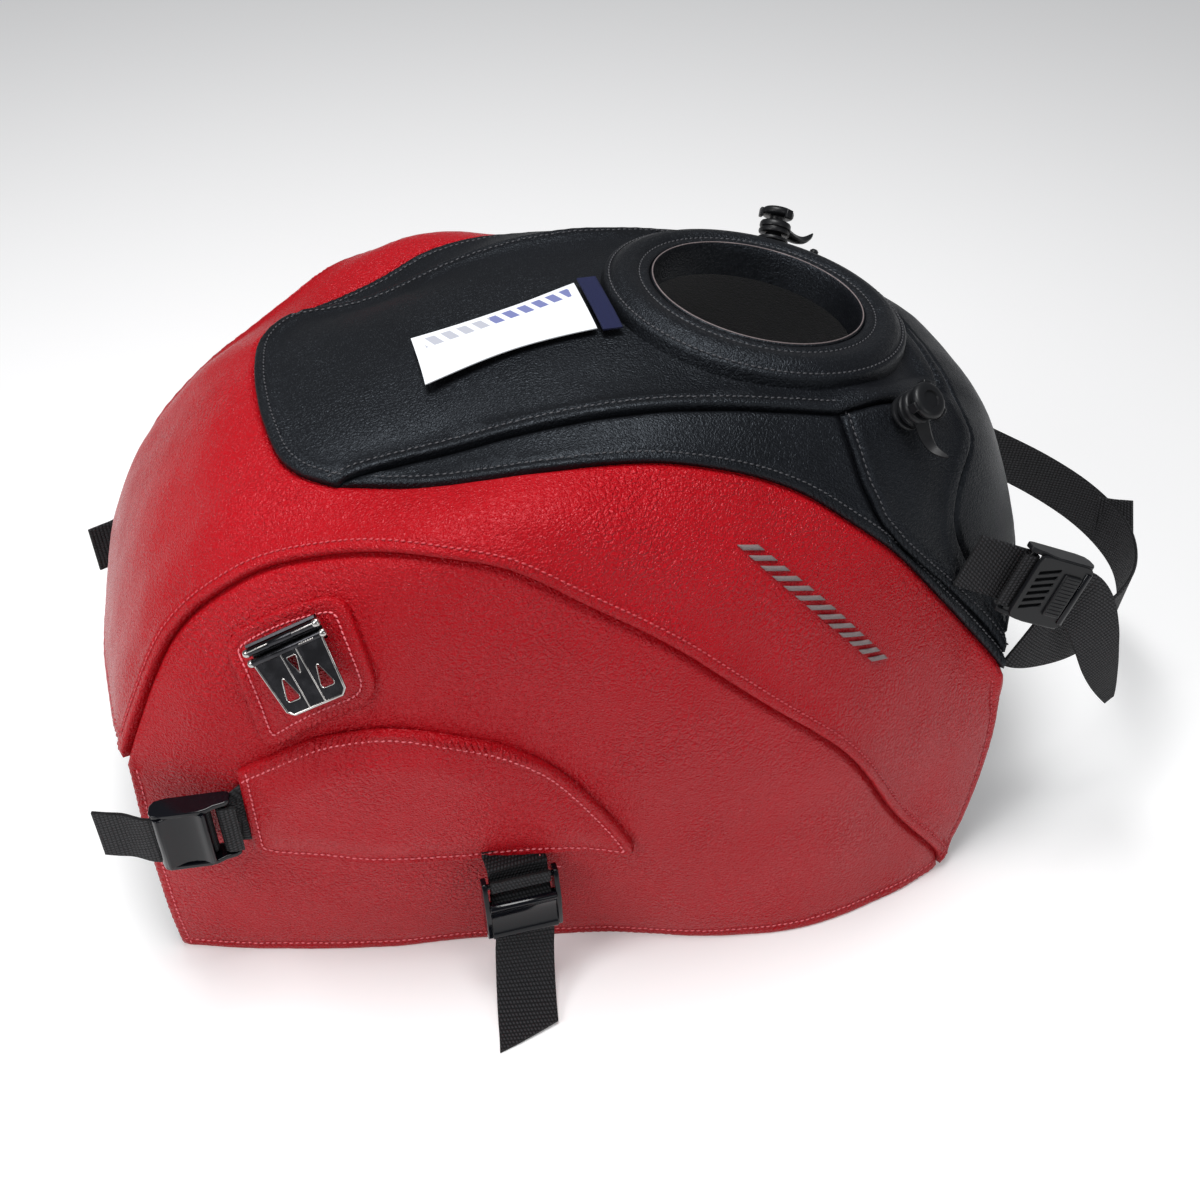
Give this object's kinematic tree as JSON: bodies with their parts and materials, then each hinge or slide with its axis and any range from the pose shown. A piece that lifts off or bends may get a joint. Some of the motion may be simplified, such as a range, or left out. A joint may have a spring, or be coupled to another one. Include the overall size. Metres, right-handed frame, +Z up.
{
  "type": "motorcycle tank cover",
  "caption": "Sewn red and black leatherette cover for a motorcycle fuel tank, with a round filler opening, hooks and catches for a tank bag, and webbing straps with buckles",
  "frame": {"origin": "middle of the overall length and width, on the ground that the hem stands on", "axes": "+X towards the front of the motorcycle, +Y towards its left, +Z up"},
  "size_m": [0.5828, 0.4276, 0.2975],
  "materials": {
    "leatherette_red": "red pebble-grain leatherette, sewn",
    "leatherette_black": "black pebble-grain leatherette, sewn",
    "webbing_black": "coarse woven black webbing",
    "plastic_black": "black moulded acetal, glossy",
    "steel_dark": "dark plated sheet steel",
    "card_white": "blank white coated paper card",
    "label_blue": "blue woven label cloth"
  },
  "bodies": {
    "cover": {"saddle_panel": "leatherette_red", "side_panel_right": "leatherette_red", "catch_patch_right": "leatherette_red", "strap_flap_right": "leatherette_red", "side_panel_left": "leatherette_red", "catch_patch_left": "leatherette_red", "strap_flap_left": "leatherette_red", "tongue_panel": "leatherette_black", "nose_panel": "leatherette_black", "cap_ring": "leatherette_black", "cap_lip": "leatherette_black", "wedge_panel_right": "leatherette_black", "shoulder_panel_right": "leatherette_black", "wedge_panel_left": "leatherette_black", "shoulder_panel_left": "leatherette_black", "catch_base_right": "steel_dark", "hook_post_right": "plastic_black", "rear_anchor_right": "webbing_black", "lower_anchor_right": "webbing_black", "front_anchor_right": "webbing_black", "catch_base_left": "steel_dark", "hook_post_left": "plastic_black", "rear_anchor_left": "webbing_black", "lower_anchor_left": "webbing_black", "front_anchor_left": "webbing_black", "front_loop_strap": "webbing_black", "label_tab": "label_blue"},
    "catch_right": {"catch_plate_right": "steel_dark"},
    "catch_left": {"catch_plate_left": "steel_dark"},
    "hook_right": {"hook_claw_right": "plastic_black"},
    "hook_left": {"hook_claw_left": "plastic_black"},
    "rear_strap_right_set": {"rear_buckle_right": "plastic_black", "rear_strap_right": "webbing_black"},
    "rear_strap_left_set": {"rear_buckle_left": "plastic_black", "rear_strap_left": "webbing_black"},
    "lower_strap_right_set": {"lower_buckle_right": "plastic_black", "lower_strap_right": "webbing_black"},
    "lower_strap_left_set": {"lower_buckle_left": "plastic_black", "lower_strap_left": "webbing_black"},
    "front_strap_right_set": {"front_buckle_right": "plastic_black", "front_strap_right": "webbing_black"},
    "front_strap_left_set": {"front_buckle_left": "plastic_black", "front_strap_left": "webbing_black"},
    "tag": {"swing_tag": "card_white"}
  },
  "joints": [
    {"name": "catch_hinge_right", "type": "hinge", "parent": "cover", "child": "catch_right", "pos_m": [-0.18965, -0.12797, 0.21463], "axis": [-0.8352, 0.2426, -0.4936], "range_deg": [0, 110]},
    {"name": "catch_hinge_left", "type": "hinge", "parent": "cover", "child": "catch_left", "pos_m": [-0.18965, 0.12797, 0.21463], "axis": [0.8352, 0.2426, 0.4936], "range_deg": [0, 110]},
    {"name": "hook_swivel_right", "type": "hinge", "parent": "cover", "child": "hook_right", "pos_m": [0.10825, -0.09065, 0.26064], "axis": [0.3527, -0.5676, 0.744], "range_deg": [-60, 60]},
    {"name": "hook_swivel_left", "type": "hinge", "parent": "cover", "child": "hook_left", "pos_m": [0.10825, 0.09065, 0.26064], "axis": [0.3527, 0.5676, 0.744], "range_deg": [-60, 60]},
    {"name": "rear_buckle_hinge_right", "type": "hinge", "parent": "cover", "child": "rear_strap_right_set", "pos_m": [-0.2311, -0.1245, 0.109], "axis": [-0.0198, 0.002, 0.9998], "range_deg": [0, 35]},
    {"name": "rear_buckle_hinge_left", "type": "hinge", "parent": "cover", "child": "rear_strap_left_set", "pos_m": [-0.2311, 0.1245, 0.109], "axis": [0.0198, 0.002, -0.9998], "range_deg": [0, 35]},
    {"name": "lower_buckle_hinge_right", "type": "hinge", "parent": "cover", "child": "lower_strap_right_set", "pos_m": [-0.0996, -0.162, 0.0715], "axis": [-0.9998, -0.0006, -0.02], "range_deg": [0, 35]},
    {"name": "lower_buckle_hinge_left", "type": "hinge", "parent": "cover", "child": "lower_strap_left_set", "pos_m": [-0.0996, 0.162, 0.0715], "axis": [0.9998, -0.0006, 0.02], "range_deg": [0, 35]},
    {"name": "front_buckle_hinge_right", "type": "hinge", "parent": "cover", "child": "front_strap_right_set", "pos_m": [0.1614, -0.131, 0.182], "axis": [-0.407, -0.0667, -0.911], "range_deg": [0, 35]},
    {"name": "front_buckle_hinge_left", "type": "hinge", "parent": "cover", "child": "front_strap_left_set", "pos_m": [0.1614, 0.131, 0.182], "axis": [0.407, -0.0667, 0.911], "range_deg": [0, 35]},
    {"name": "tag_hinge", "type": "hinge", "parent": "cover", "child": "tag", "pos_m": [-0.02421, -0.00472, 0.29144], "axis": [0, 1, 0], "range_deg": [0, 75]}
  ]
}
